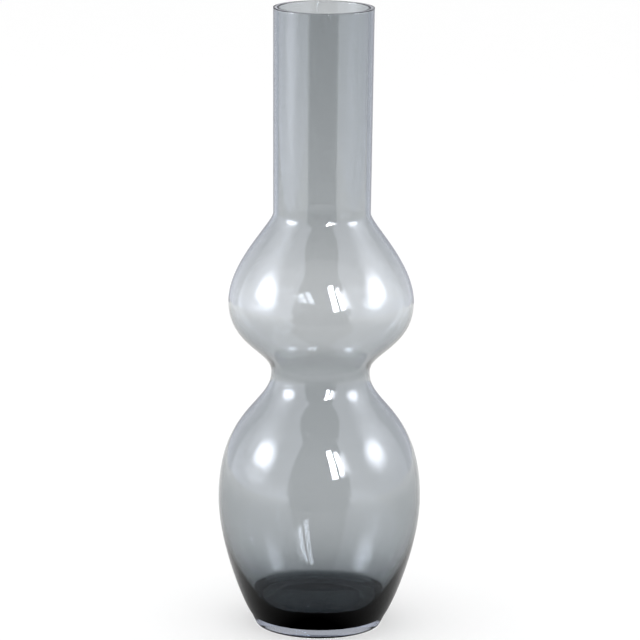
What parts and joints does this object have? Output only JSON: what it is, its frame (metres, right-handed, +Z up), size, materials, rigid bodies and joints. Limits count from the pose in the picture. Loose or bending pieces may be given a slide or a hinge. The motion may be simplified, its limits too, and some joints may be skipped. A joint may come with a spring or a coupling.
{
  "type": "double gourd vase",
  "caption": "Tall double gourd flower vase of blown smoke grey glass: straight neck, onion bulb, pinched waist, egg bulb and thick dark floor fused on a clear glass foot.",
  "frame": {"origin": "middle of the ground ring that the vase stands on, at table height", "axes": "+Z up along the vase's axis of revolution, towards the lip; X and Y are alike"},
  "size_m": [0.1624, 0.1624, 0.5],
  "materials": {
    "smoke_glass": "polished blown glass, tinted through, smoke grey",
    "clear_glass": "polished clear glass with a ground ring underneath"
  },
  "bodies": {
    "root": {"smoke_glass_body": "smoke_glass", "clear_glass_foot": "clear_glass"}
  },
  "joints": []
}
